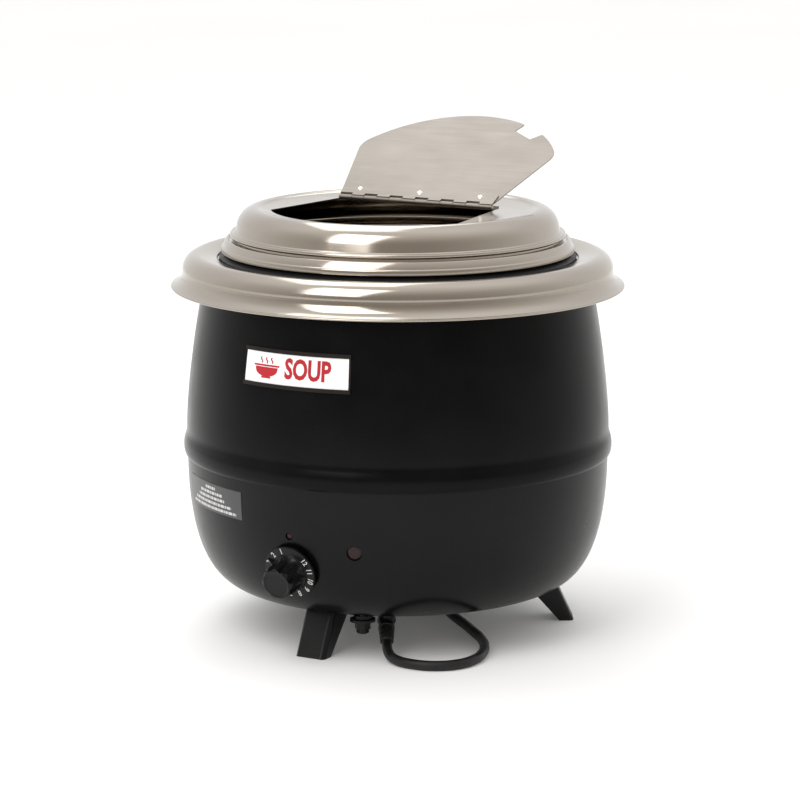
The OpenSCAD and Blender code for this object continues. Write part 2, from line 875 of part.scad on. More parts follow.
// --- soup pot ---
module soup_pot() {
    seat_in = pot_r + 5.8;
    round_r = 5.8;
    outline = concat(
        [[rim_r, seat_z - 8], [rim_r, seat_z - 5], [rim_r - 0.4, seat_z - 4.1],
         [rim_r - 1.2, seat_z - 3.6], [seat_r + 2.4, seat_z + 1.8],
         [seat_r + 1.2, seat_z + 2], [seat_r + 0.4, seat_z + 1.4], [seat_r, seat_z]],
        [[seat_in, seat_z]],
        arc([seat_in, seat_z - round_r], round_r, 90, 180, 5),
        arc([pot_r - pot_corner_r, pot_floor_z + pot_corner_r], pot_corner_r, 0, -90, 7),
        [[0, pot_floor_z]]);
    color("#c4c1bd")
        turned(sheet([for (i = [0:len(outline) - 1]) if (i != 8) outline[i]], -pot_t));
}

// --- lid and flap ---
crown_r = lid_r - 21.7;
crown_z = lid_top_z + 1.8;
dome_r = 16.5;
flat_r = crown_r - 8;
flap_r = flat_r - 1;
open_r = flap_r - 2;
flap_slope = 0.264;
open_slope = 0.13;
open_half = hinge_half + 2.5;
knuckle_r = 1.9;
leaf_w = 13.4;
leaf_t = 1;
rivet_r = 1.25;
rivet_head_r = 2.6;
rivet_x = [-55, 0, 55];
fixed_rivet_x = [-46.7, 0, 46.7];

// Middle of the corner circle that touches a side line and the front arc. The side starts at
// [half, y0] and widens by slope for each unit forwards; y is measured forwards.
function corner_mid(half, y0, slope, r, c) =
    let (d = unit([slope, 1]),
         n = [d[1], -d[0]],
         p = [half, y0] - c * n,
         b = p * d,
         s = -b + sqrt(b * b - p * p + (r - c) * (r - c)))
    p + s * d;

// Outline of a flap or opening: a straight back, slanting sides, round corners, front arc.
function flap_outline(half, y0, slope, r, c) =
    let (m = corner_mid(half, y0, slope, r, c),
         a0 = -atan(slope),
         a1 = atan2(m[1], m[0]),
         right = concat([[half, y0]], arc(m, c, a0, a1, 10), arc([0, 0], r, a1, 90, 20)))
    concat(right, [for (i = [len(right) - 2:-1:0]) [-right[i][0], right[i][1]]]);

function forwards(p) = [for (v = p) [v[0], -v[1]]];

module lid_opening() {
    polygon(forwards(flap_outline(open_half, -hinge_y - 2.4, open_slope, open_r, 2)));
}

module lid() {
    edge_r = 2;
    edge_z = seat_z + 4.7;
    outline = concat(
        [[0, lid_top_z], [flat_r, lid_top_z], [flat_r + 2.5, lid_top_z + 0.4],
         [flat_r + 5, lid_top_z + 1.35]],
        arc([crown_r, crown_z - dome_r], dome_r, 90, 12, 10),
        [[lid_r - 2 * edge_r, edge_z + 3], [lid_r - edge_r, edge_z],
         [lid_r - edge_r, seat_z + gap]]);
    color("#cbc8c4")
        difference() {
            union() {
                turned(sheet(outline, lid_t));
                rotate_extrude()
                    translate([lid_r - edge_r, edge_z])
                        circle(r = edge_r, $fn = 32);
            }
            translate([0, 0, lid_top_z - 3])
                linear_extrude(6)
                    lid_opening();
            for (x = fixed_rivet_x)
                translate([x, hinge_y + 9, lid_top_z - 3])
                    cylinder(r = rivet_r + fit, h = 6);
        }
}

knuckle_pitch = 2 * hinge_half / knuckles;

// The knuckles of one leaf: those whose number leaves the given remainder by 2.
module knuckle_row(odd) {
    for (i = [0:knuckles - 1])
        if (i % 2 == odd)
            translate([-hinge_half + knuckle_pitch * i + gap / 2, 0, 0])
                rotate([0, 90, 0])
                    cylinder(r = knuckle_r, h = knuckle_pitch - gap, $fn = 32);
}

// Slots in a leaf where the other leaf's knuckles turn.
module knuckle_slots(odd, y0, y1) {
    for (i = [0:knuckles - 1])
        if (i % 2 == odd)
            translate([-hinge_half + knuckle_pitch * i - gap / 2, y0, -knuckle_r - 2])
                cube([knuckle_pitch + gap, y1 - y0, 2 * knuckle_r + 4]);
}

module pin_bore() {
    translate([-hinge_half - 1, 0, 0])
        rotate([0, 90, 0])
            cylinder(r = pin_r + fit, h = 2 * hinge_half + 2, $fn = 32);
}

module hinge_leaf_fixed() {
    slot = knuckle_r + 0.9;
    color("#b9b7b3")
        translate([0, hinge_y, pin_z])
            difference() {
                union() {
                    knuckle_row(0);
                    difference() {
                        translate([-hinge_half, 0, -knuckle_r])
                            cube([2 * hinge_half - 1, leaf_w, leaf_t]);
                        knuckle_slots(1, -slot, slot);
                    }
                }
                pin_bore();
                for (x = fixed_rivet_x)
                    translate([x, 9, -5])
                        cylinder(r = rivet_r + fit, h = 10);
            }
}

module hinge_pin() {
    color("#9d9b98")
        translate([-hinge_half, hinge_y, pin_z])
            rotate([0, 90, 0])
                cylinder(r = pin_r, h = 2 * hinge_half, $fn = 32);
}

// A rivet between two heights, with a low domed head at each end.
module rivet(z0, z1) {
    head = 0.8;
    cylinder_up(rivet_r, z0 - eps, z1 + eps);
    translate([0, 0, z1])
        cylinder(r1 = rivet_head_r, r2 = rivet_head_r * 0.6, h = head, $fn = 24);
    translate([0, 0, z0 - head])
        cylinder(r1 = rivet_head_r * 0.6, r2 = rivet_head_r, h = head, $fn = 24);
}

module lid_rivets() {
    color("#c9c7c3")
        for (x = fixed_rivet_x)
            translate([x, hinge_y + 9, pin_z])
                rivet(-knuckle_r - lid_t, -knuckle_r + leaf_t);
}

// Moves what is drawn closed, with the pin on the X axis, to the standing-open place.
module opened() {
    translate([0, hinge_y, pin_z])
        rotate([-flap_open, 0, 0])
            children();
}

flap_low = -knuckle_r + gap;              // underside of the closed flap, from the pin
module flap() {
    front = hinge_y + knuckle_r + 0.5;    // where the sheet starts, forwards of the hinge
    tip_r = 4;                            // rounding of the notch's two tips
    tip_x = notch_w / 2 + 1.5 + tip_r;
    tip_y = -flap_r + tip_r;
    mouth = concat(
        [[notch_w / 2, -flap_r + notch_depth]], arc([tip_x, tip_y], tip_r, 180, 262, 6),
        [[tip_x, -flap_r - 3]]);
    color("#c3bfb8")
        opened()
            translate([0, -hinge_y, flap_low])
                difference() {
                    linear_extrude(lid_t)
                        polygon(forwards(flap_outline(hinge_half, -front + 2 * (front - hinge_y),
                                                      flap_slope, flap_r, 20)));
                    at_az(notch_az)
                        translate([0, 0, -1])
                            linear_extrude(lid_t + 2)
                                polygon(concat(mouth, [for (i = [len(mouth) - 1:-1:0])
                                    [-mouth[i][0], mouth[i][1]]]));
                    for (x = rivet_x)
                        translate([x, hinge_y - 9.5, -1])
                            cylinder(r = rivet_r + fit, h = 4);
                }
}

module hinge_leaf_moving() {
    slot = knuckle_r + 0.9;
    color("#bdb9b2")
        opened()
            difference() {
                union() {
                    knuckle_row(1);
                    difference() {
                        translate([-hinge_half, -leaf_w, flap_low - leaf_t])
                            cube([2 * hinge_half, leaf_w, leaf_t]);
                        knuckle_slots(0, -slot, slot);
                    }
                }
                pin_bore();
                for (x = rivet_x)
                    translate([x, -9.5, -5])
                        cylinder(r = rivet_r + fit, h = 10);
            }
}

module flap_rivets() {
    color("#d0cdc8")
        opened()
            for (x = rivet_x)
                translate([x, -9.5, 0])
                    rivet(flap_low - leaf_t, flap_low + lid_t);
}

upper_casing();
lower_casing();
top_ring();
water_well();
well_gasket();
well_lugs();
tie_studs();
tie_nuts();
heat_spreader();
heating_element();
element_clamp();
clamp_nut();
thermal_cutout();
thermostat();
thermostat_bracket();
thermostat_screws();
dial_spindle();
dial();
pilot_lens();
pilot_body();
small_lens();
small_lamp_body();
foot_front();
foot_rear_right();
foot_rear_left();
foot_screws();
cord_gland();
gland_nut();
cord_boot();
cord_lead();
cord_coil();
cord_tail();
plug_body();
plug_pins();
terminal_block();
wiring();
card_holder();
name_card();
rating_label();
soup_pot();
lid();
hinge_leaf_fixed();
hinge_pin();
lid_rivets();
flap();
hinge_leaf_moving();
flap_rivets();
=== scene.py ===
"""Round electric soup kettle: the finishes, moulded details, cord and studio that go with the
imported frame. Lengths are in metres; the frame's origin is on the counter under the axis."""

import math

import bmesh
import bpy
from mathutils import Matrix, Vector, geometry


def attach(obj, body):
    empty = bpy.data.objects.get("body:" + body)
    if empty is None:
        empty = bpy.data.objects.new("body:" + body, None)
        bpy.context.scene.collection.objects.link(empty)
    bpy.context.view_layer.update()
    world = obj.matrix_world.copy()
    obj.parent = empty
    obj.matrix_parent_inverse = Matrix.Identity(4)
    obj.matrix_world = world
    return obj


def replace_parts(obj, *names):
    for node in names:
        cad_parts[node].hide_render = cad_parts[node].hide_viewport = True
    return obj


bl_info = {
    "name": "Soup kettle",
    "version": (1, 0, 0),
    "blender": (4, 5, 0),
    "location": "3D View > Sidebar > Kettle",
    "description": "Builds the pieces, finishes and studio of a countertop soup kettle",
    "category": "Object",
}

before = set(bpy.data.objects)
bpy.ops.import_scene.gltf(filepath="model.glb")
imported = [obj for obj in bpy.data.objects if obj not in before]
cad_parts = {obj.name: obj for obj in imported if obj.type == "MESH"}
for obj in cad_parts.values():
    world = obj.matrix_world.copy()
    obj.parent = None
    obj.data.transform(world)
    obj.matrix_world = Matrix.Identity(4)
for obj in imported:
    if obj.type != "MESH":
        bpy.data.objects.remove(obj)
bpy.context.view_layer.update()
MM = 0.001
VIEW_AZIMUTH = 28.98  # degrees from the front round to the camera
TOWARDS_BACK = (-0.4845, 0.8748, 0.0)  # level direction away from the camera
TOWARDS_RIGHT = (0.8748, 0.4845, 0.0)  # level direction to the camera's right


# ---------------------------------------------------------------- colours and materials
def linear(code, alpha=1.0):
    """An sRGB hex colour as linear RGBA."""
    values = [int(code[i : i + 2], 16) / 255 for i in (1, 3, 5)]
    return [v / 12.92 if v <= 0.04045 else ((v + 0.055) / 1.055) ** 2.4 for v in values] + [alpha]


def shaded(code, part):
    """A hex colour with each sRGB value taken down to part of itself."""
    return "#" + "".join(f"{round(int(code[i : i + 2], 16) * part):02x}" for i in (1, 3, 5))


def add(tree, kind, settings=None, links=None):
    """Adds a node, sets its properties and unlinked sockets, and links its inputs."""
    node = tree.nodes.new(kind)
    for name, value in (settings or {}).items():
        if isinstance(name, int) or name in node.inputs:
            node.inputs[name].default_value = value
        else:
            setattr(node, name, value)
    for name, source in (links or {}).items():
        tree.links.new(source, node.inputs[name])
    return node


def new_material(name, settings):
    """A material with one Principled shader; returns it with its tree and shader."""
    material = bpy.data.materials.new(name)
    material.use_nodes = True
    tree = material.node_tree
    tree.nodes.clear()
    shader = add(tree, "ShaderNodeBsdfPrincipled", settings)
    add(tree, "ShaderNodeOutputMaterial", links={"Surface": shader.outputs["BSDF"]})
    return material, tree, shader


def ramp(tree, source, stops):
    """Colours a 0 to 1 value by (place, hex colour) stops."""
    node = add(tree, "ShaderNodeValToRGB", links={"Fac": source})
    elements = node.color_ramp.elements
    while len(elements) < len(stops):
        elements.new(0.5)
    for element, (place, code) in zip(elements, stops):
        element.position = place
        element.color = linear(code)
    return node.outputs["Color"]


def spread(tree, source, low, high, start=0.3, stop=0.7):
    """Carries a noise value from start..stop to low..high."""
    return add(
        tree,
        "ShaderNodeMapRange",
        {"From Min": start, "From Max": stop, "To Min": low, "To Max": high},
        {"Value": source},
    ).outputs["Result"]


def grain(tree, size, detail=2.0, stretch=None, vector=None):
    """Noise whose lumps are about size metres, optionally on stretched coordinates."""
    where = vector or add(tree, "ShaderNodeTexCoord").outputs["Object"]
    if stretch:
        where = add(
            tree, "ShaderNodeVectorMath", {"operation": "MULTIPLY", 1: stretch}, {0: where}
        ).outputs["Vector"]
    return add(
        tree, "ShaderNodeTexNoise", {"Scale": 1 / size, "Detail": detail}, {"Vector": where}
    ).outputs["Fac"]


def bump(tree, shader, height, distance, strength=1.0):
    """Raises the shader's surface by height times distance metres."""
    node = add(
        tree, "ShaderNodeBump", {"Distance": distance, "Strength": strength}, {"Height": height}
    )
    tree.links.new(node.outputs["Normal"], shader.inputs["Normal"])


def wrinkle_enamel(name, code, size, roughness, gloss):
    """Baked wrinkle enamel on steel: a fine raised skin that breaks each highlight into
    sparkle and spreads the rest into a broad grey sheen."""
    material, tree, shader = new_material(
        name,
        {"Base Color": linear(code), "Roughness": roughness, "Specular IOR Level": gloss},
    )
    fine = grain(tree, size, 3.0)
    cloud = grain(tree, 40 * MM, 3.0)
    tree.links.new(
        spread(tree, cloud, roughness - 0.03, roughness + 0.05), shader.inputs["Roughness"]
    )
    tree.links.new(
        ramp(tree, cloud, [(0.3, code), (0.75, "#0b0b0c")]), shader.inputs["Base Color"]
    )
    bump(tree, shader, fine, 0.06 * MM, 0.4)
    return material


def turned_steel(name, code, spacing, low, high, depth):
    """Stainless sheet polished on a lathe: fine rings round the axis that draw reflections
    out sideways, over a faint cloudiness left by handling."""
    material, tree, shader = new_material(name, {"Metallic": 1.0, "Base Color": linear(code)})
    where = add(tree, "ShaderNodeTexCoord").outputs["Object"]
    flat = add(
        tree, "ShaderNodeVectorMath", {"operation": "MULTIPLY", 1: (1, 1, 0)}, {0: where}
    ).outputs["Vector"]
    radius = add(tree, "ShaderNodeVectorMath", {"operation": "LENGTH"}, {0: flat}).outputs["Value"]
    height = add(tree, "ShaderNodeSeparateXYZ", links={"Vector": where}).outputs["Z"]
    ring = add(tree, "ShaderNodeCombineXYZ", links={"X": radius, "Z": height}).outputs["Vector"]
    rings = grain(tree, spacing, 4.0, vector=ring)
    smear = grain(tree, 35 * MM, 4.0)
    both = add(
        tree, "ShaderNodeMath", {"operation": "MULTIPLY_ADD", 1: 0.5}, {0: rings, 2: smear}
    ).outputs["Value"]
    tree.links.new(spread(tree, both, low, high, 0.55, 0.95), shader.inputs["Roughness"])
    bump(tree, shader, rings, depth, 0.35)
    return material


def brushed_sheet(name, code, dark, spacing, low, high):
    """Stainless sheet with a straight brushed grain along X: short bright and dull hairs
    that soften everything it reflects."""
    material, tree, shader = new_material(name, {"Metallic": 1.0})
    hairs = grain(tree, spacing, 5.0, stretch=(0.02, 1, 1))
    cloud = grain(tree, 45 * MM, 4.0)
    tree.links.new(
        ramp(tree, cloud, [(0.25, dark), (0.75, code)]), shader.inputs["Base Color"]
    )
    tree.links.new(spread(tree, hairs, low, high), shader.inputs["Roughness"])
    bump(tree, shader, hairs, 0.02 * MM, 0.4)
    return material


def moulded_plastic(name, code, size, roughness, depth=0.03 * MM, gloss=0.25):
    """Moulded phenolic or nylon: a matt spark-eroded skin, a touch shinier on handled
    areas."""
    material, tree, shader = new_material(
        name, {"Base Color": linear(code), "Specular IOR Level": gloss}
    )
    skin = grain(tree, size, 2.0)
    cloud = grain(tree, 12 * MM, 2.0)
    tree.links.new(
        spread(tree, cloud, roughness - 0.06, roughness + 0.06), shader.inputs["Roughness"]
    )
    bump(tree, shader, skin, depth, 0.6)
    return material


def plated_metal(name, code, dark, low, high):
    """Zinc or nickel plating on small parts: a bright metal with blotchy dullness."""
    material, tree, shader = new_material(name, {"Metallic": 1.0})
    blotch = grain(tree, 3 * MM, 4.0)
    tree.links.new(ramp(tree, blotch, [(0.3, dark), (0.7, code)]), shader.inputs["Base Color"])
    tree.links.new(spread(tree, blotch, low, high), shader.inputs["Roughness"])
    return material


def lamp_glass(name, code):
    """Ribbed translucent polycarbonate lens: dull red until it is lit."""
    material, tree, shader = new_material(
        name, {"Roughness": 0.3, "Specular IOR Level": 0.3}
    )
    cells = add(
        tree,
        "ShaderNodeTexVoronoi",
        {"Scale": 1 / (1.2 * MM)},
        {"Vector": add(tree, "ShaderNodeTexCoord").outputs["Object"]},
    ).outputs["Distance"]
    tree.links.new(
        ramp(tree, cells, [(0.1, code), (0.8, "#1c0d0d")]), shader.inputs["Base Color"]
    )
    bump(tree, shader, cells, 0.15 * MM, 0.5)
    return material


def printed_film(name, code, roughness):
    """Laminated card or polyester film: smooth and even, with a faint waviness."""
    material, tree, shader = new_material(name, {"Roughness": roughness})
    wave = grain(tree, 14 * MM, 2.0)
    paper = grain(tree, 0.5 * MM, 2.0)
    tree.links.new(
        ramp(tree, paper, [(0.2, shaded(code, 0.93)), (0.8, code)]), shader.inputs["Base Color"]
    )
    bump(tree, shader, wave, 0.05 * MM, 0.3)
    return material


def cord_rubber(name, code):
    """Extruded rubber sheath: matt black with a dusty bloom in patches."""
    material, tree, shader = new_material(name, {"Specular IOR Level": 0.35})
    bloom = grain(tree, 9 * MM, 4.0)
    tree.links.new(ramp(tree, bloom, [(0.35, code), (0.8, "#262627")]), shader.inputs["Base Color"])
    tree.links.new(spread(tree, bloom, 0.42, 0.62), shader.inputs["Roughness"])
    bump(tree, shader, grain(tree, 0.6 * MM), 0.02 * MM, 0.5)
    return material


def studio_floor(name, code):
    """Plain pale light table: matt white acrylic that glows a little from below."""
    material, tree, shader = new_material(
        name,
        {"Roughness": 0.6, "Emission Color": (1, 1, 1, 1), "Emission Strength": 0.07,
         "Specular IOR Level": 0.2},
    )
    cloud = grain(tree, 0.6, 2.0)
    tree.links.new(ramp(tree, cloud, [(0.2, code), (0.8, "#fbfbfb")]), shader.inputs["Base Color"])
    return material


def finish(material, *nodes):
    """Gives CAD nodes a material."""
    for name in nodes:
        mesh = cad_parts[name].data
        mesh.materials.clear()
        mesh.materials.append(material)


# ---------------------------------------------------------------- mesh helpers
def make_mesh(name, verts, faces, material, body, smooth_angle=35):
    """A new mesh piece that rides on a body and takes its finish from a slot."""
    mesh = bpy.data.meshes.new(name)
    mesh.from_pydata([tuple(v) for v in verts], [], faces)
    mesh.validate()
    mesh.materials.append(material)
    mesh.shade_smooth()
    mesh.set_sharp_from_angle(angle=math.radians(smooth_angle))
    piece = bpy.data.objects.new(name, mesh)
    bpy.context.scene.collection.objects.link(piece)
    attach(piece, body)
    return piece


def lofted(rings, closed_start=True, closed_end=True):
    """Vertices and faces of a skin over equal rings of points."""
    count = len(rings[0])
    verts = [p for ring in rings for p in ring]
    faces = []
    for i in range(len(rings) - 1):
        for k in range(count):
            n = (k + 1) % count
            faces.append((i * count + k, i * count + n, (i + 1) * count + n, (i + 1) * count + k))
    if closed_start:
        faces.append(tuple(reversed(range(count))))
    if closed_end:
        faces.append(tuple(range((len(rings) - 1) * count, len(rings) * count)))
    return verts, faces


def turned(profile, count=64):
    """Rings of a solid turned about Z from (radius, height) pairs."""
    turns = [2 * math.pi * k / count for k in range(count)]
    return [[Vector((r * math.cos(a), r * math.sin(a), z)) for a in turns] for r, z in profile]


def welded(verts, faces):
    """The same shape with vertices that coincide joined."""
    solid = bmesh.new()
    made = [solid.verts.new(v) for v in verts]
    for face in faces:
        if len(set(face)) > 2:
            solid.faces.new([made[i] for i in face])
    bmesh.ops.remove_doubles(solid, verts=solid.verts, dist=0.01 * MM)
    bmesh.ops.recalc_face_normals(solid, faces=solid.faces)
    solid.verts.index_update()
    out = [v.co.copy() for v in solid.verts], [tuple(v.index for v in f.verts) for f in solid.faces]
    solid.free()
    return out


def arc(x, z, r, start, stop, steps):
    """Points of an arc from start to stop degrees."""
    angles = [math.radians(start + (stop - start) * i / steps) for i in range(steps + 1)]
    return [(x + r * math.cos(a), z + r * math.sin(a)) for a in angles]


def rounded(points, rounds=2):
    """An open outline with its corners cut off rounds times over; its two ends stay."""
    for _ in range(rounds):
        cut = [points[0]]
        for (x0, z0), (x1, z1) in zip(points, points[1:]):
            cut.append((0.75 * x0 + 0.25 * x1, 0.75 * z0 + 0.25 * z1))
            cut.append((0.25 * x0 + 0.75 * x1, 0.25 * z0 + 0.75 * z1))
        points = [*cut, points[-1]]
    return points


def sheet(points, thickness):
    """A closed outline of sheet metal on the right-hand side of an open one."""
    back = []
    for i, (x, z) in enumerate(points):
        (x0, z0), (x1, z1) = points[max(i - 1, 0)], points[min(i + 1, len(points) - 1)]
        along = Vector((x1 - x0, z1 - z0)).normalized()
        back.append((x + along.y * thickness, z - along.x * thickness))
    return points + back[::-1]


def lathe(outline, count=256):
    """A closed (radius, height) outline in millimetres turned about Z, in metres."""
    rings = turned([(max(r, 0.02) * MM, z * MM) for r, z in outline], count)
    verts, faces = lofted(rings + rings[:1], False, False)
    last = (len(rings) - 1) * count
    faces = [tuple(v if v < last + count else v - last - count for v in face) for face in faces]
    return verts[: last + count], faces


def merged(*parts):
    """Several (vertices, faces) pairs as one."""
    verts, faces = [], []
    for v, f in parts:
        start = len(verts)
        verts += list(v)
        faces += [tuple(start + i for i in face) for face in f]
    return verts, faces


def letters(text, size, bold=0.0, width=1.0):
    """Flat triangles of a short word centred on the origin, as (vertices, faces)."""
    curve = bpy.data.curves.new("letters", "FONT")
    curve.body = text
    curve.size = size
    curve.offset = bold
    curve.align_x = "CENTER"
    curve.align_y = "CENTER"
    curve.resolution_u = 3
    holder = bpy.data.objects.new("letters", curve)
    bpy.context.scene.collection.objects.link(holder)
    bpy.context.view_layer.update()
    mesh = bpy.data.meshes.new_from_object(
        holder.evaluated_get(bpy.context.evaluated_depsgraph_get())
    )
    verts = [Vector((v.co.x * width, v.co.y, 0)) for v in mesh.vertices]
    faces = [tuple(p.vertices) for p in mesh.polygons]
    bpy.data.objects.remove(holder)
    bpy.data.curves.remove(curve)
    bpy.data.meshes.remove(mesh)
    return verts, faces


def sliced(verts, faces, spacing):
    """Cuts flat shapes into strips spacing wide, so that they can bend round the casing."""
    sheet_mesh = bmesh.new()
    made = [sheet_mesh.verts.new(v) for v in verts]
    for face in faces:
        sheet_mesh.faces.new([made[i] for i in face])
    low, high = min(v.x for v in verts), max(v.x for v in verts)
    for i in range(1, int((high - low) / spacing) + 1):
        everything = sheet_mesh.verts[:] + sheet_mesh.edges[:] + sheet_mesh.faces[:]
        bmesh.ops.bisect_plane(
            sheet_mesh, geom=everything, plane_co=(low + i * spacing, 0, 0), plane_no=(1, 0, 0)
        )
    sheet_mesh.verts.index_update()
    out = [v.co.copy() for v in sheet_mesh.verts], [
        tuple(v.index for v in f.verts) for f in sheet_mesh.faces
    ]
    sheet_mesh.free()
    return out


# ---------------------------------------------------------------- casing shape
CASING_R = 169.6 * MM
SHEET_T = 0.8  # thickness of the stainless sheet, in millimetres
CASING_T = 1.0  # thickness of the casings' sheet, in millimetres
DIAL_AZ = -1.0  # degrees from the front to the dial and the small lamp
# Height and azimuth of the dial, the pilot lamp and the small lamp
DIAL_AT = (75.1 * MM, DIAL_AZ)
LAMP_AT = (93.1 * MM, 17.4)
SMALL_LAMP_AT = (102.3 * MM, DIAL_AZ)


def lower_r(z):
    """Outside radius of the lower casing at height z."""
    t = min(1.0, max(0.0, (0.145 - z) / 0.1125))
    return 0.1 + 0.0696 * (1 - t**2.3) ** (1 / 3.54)


def upper_r(z):
    """Outside radius of the upper casing at height z, above its bead."""
    return 0.1701 - 0.0139 * (max(0.0, z - 0.165) / 0.1114) ** 1.5


def on_bowl(z, azimuth=0.0):
    """Frame of a part standing on the lower casing: +Z out of the surface, +Y up it."""
    tilt = math.atan((lower_r(z + MM) - lower_r(z - MM)) / (2 * MM))
    return (
        Matrix.Rotation(math.radians(azimuth), 4, "Z")
        @ Matrix.Translation((0, -lower_r(z), z))
        @ Matrix.Rotation(math.pi / 2 + tilt, 4, "X")
    )


def wrapped(points, radius_at, lift, mean_r):
    """Lays flat points (distance round the casing, height) on the casing, lifted off it."""
    out = []
    for p in points:
        r, a = radius_at(p.y) + lift, p.x / mean_r
        out.append(Vector((r * math.sin(a), -r * math.cos(a), p.y)))
    return out


# ---------------------------------------------------------------- settings
class KettleSizes(bpy.types.PropertyGroup):
    cord_radius: bpy.props.FloatProperty(
        name="Cord radius", description="Radius of the supply cord", default=0.004, unit="LENGTH"
    )
    enamel_grain: bpy.props.FloatProperty(
        name="Enamel grain",
        description="Size of the wrinkle enamel's lumps, drawn coarse enough to show",
        default=0.0016,
        unit="LENGTH",
    )
    polish_spacing: bpy.props.FloatProperty(
        name="Polish spacing",
        description="Spacing of the polishing rings on turned steel",
        default=0.0007,
        unit="LENGTH",
    )
    brush_spacing: bpy.props.FloatProperty(
        name="Brush spacing",
        description="Spacing of the hairs on brushed sheet",
        default=0.0008,
        unit="LENGTH",
    )
    numeral_height: bpy.props.FloatProperty(
        name="Numeral height",
        description="Height of the dial's numerals",
        default=0.0046,
        unit="LENGTH",
    )
    floor_width: bpy.props.FloatProperty(
        name="Floor width", description="Width of the pale floor", default=40.0, unit="LENGTH"
    )


def colour(name, description, code):
    """A colour setting with an sRGB hex default."""
    return bpy.props.FloatVectorProperty(
        name=name, description=description, subtype="COLOR", size=3, min=0, max=1,
        default=linear(code)[:3],
    )


class KettleColours(bpy.types.PropertyGroup):
    enamel: colour("Enamel", "Casings' black enamel", "#050506")
    steel: colour("Steel", "Polished ring, pot rim and lid", "#aaa298")
    sheet: colour("Sheet", "Brushed flap and hinge", "#97918a")
    plastic: colour("Plastic", "Feet, dial and gland", "#08080a")
    lens: colour("Lens", "Pilot lamps", "#2a1211")
    card: colour("Card", "Name card", "#ffffff")
    ink: colour("Ink", "Printing on the name card", "#bb1526")
    film: colour("Film", "Notice label", "#3b3b3d")
    rubber: colour("Rubber", "Supply cord", "#0c0c0d")
    floor: colour("Floor", "Studio floor", "#f6f6f6")


def to_hex(values):
    """A linear colour setting back as an sRGB hex code."""
    codes = []
    for v in values[:3]:
        v = 12.92 * v if v <= 0.0031308 else 1.055 * v ** (1 / 2.4) - 0.055
        codes.append(f"{round(min(1, max(0, v)) * 255):02x}")
    return "#" + "".join(codes)


def sizes():
    return bpy.context.scene.kettle_sizes


def colours(name):
    return to_hex(getattr(bpy.context.scene.kettle_colours, name))


# ---------------------------------------------------------------- camera
class KETTLE_OT_camera(bpy.types.Operator):
    """Sets the camera in front and to the right of the dial, a little above the lid"""

    bl_idname = "kettle.camera"
    bl_label = "Camera"

    def execute(self, context):
        azimuth, pitch = math.radians(VIEW_AZIMUTH), math.radians(11.035)
        away, height = 2.6, 0.688
        data = bpy.data.cameras.new("camera")
        data.sensor_width = 36
        data.lens = 147.69
        data.shift_x = 0.0027
        data.clip_end = 60
        camera = bpy.data.objects.new("camera", data)
        context.scene.collection.objects.link(camera)
        camera.location = (away * math.sin(azimuth), -away * math.cos(azimuth), height)
        towards = Vector(
            (
                -math.sin(azimuth) * math.cos(pitch),
                math.cos(azimuth) * math.cos(pitch),
                -math.sin(pitch),
            )
        )
        camera.rotation_mode = "QUATERNION"
        camera.rotation_quaternion = towards.to_track_quat("-Z", "Y")
        context.scene.camera = camera
        return {"FINISHED"}


# ---------------------------------------------------------------- cord
GLAND = Vector((39, -89, 24)) * MM
BOOT_END = Vector((50, -108, 11)) * MM
BOOT_START = GLAND + (BOOT_END - GLAND).normalized() * 6 * MM
LEAD = [
    (57, -118, 6.5), (68, -127, 4.4), (86, -131, 4), (103, -127, 4), (116, -115, 4),
    (121, -97, 4), (118, -77, 4), (110, -58, 4), (98, -40, 4), (82, -23, 4), (66, -7, 4),
    (50, 8, 4), (36, 22, 4), (24, 37, 4), (15, 52, 4),
]
TAIL = [
    (10, 55, 12.6), (10, 66, 12.4), (9, 80, 8.6), (7, 95, 4.8), (2, 112, 4), (-8, 127, 4.8),
    (-22, 139, 9.5), (-37, 147, 15.5), (-50, 149, 18),
]
COIL_AT = (-38, 48)


def eased(value, start, stop):
    """0 before start, 1 after stop, and a smooth rise between."""
    t = min(1.0, max(0.0, (value - start) / (stop - start)))
    return t * t * (3 - 2 * t)


def coil_point(angle):
    """Middle of the cord in its coil after turning to angle degrees: round the outside on the
    counter, round the inside, up a layer, and out again on top."""
    inward = eased(angle, 325, 378)
    climb = eased(angle, 655, 715)
    outward = eased(angle, 985, 1035)
    r = 48 - 8 * inward + 8 * outward
    z = 4 + 8 * climb + 0.6 * eased(angle, 1410, 1440)
    a = math.radians(angle)
    return (COIL_AT[0] + r * math.cos(a), COIL_AT[1] + r * math.sin(a), z)


def cord_route():
    """The whole cord's middle, from inside its boot to the back of its plug."""
    coil = [coil_point(28.5 + (1440 - 28.5) * i / 70) for i in range(70)]
    inside = [tuple(BOOT_START / MM), tuple((BOOT_START + BOOT_END) / 2 / MM), tuple(BOOT_END / MM)]
    return [Vector(p) * MM for p in inside + LEAD + coil + TAIL]


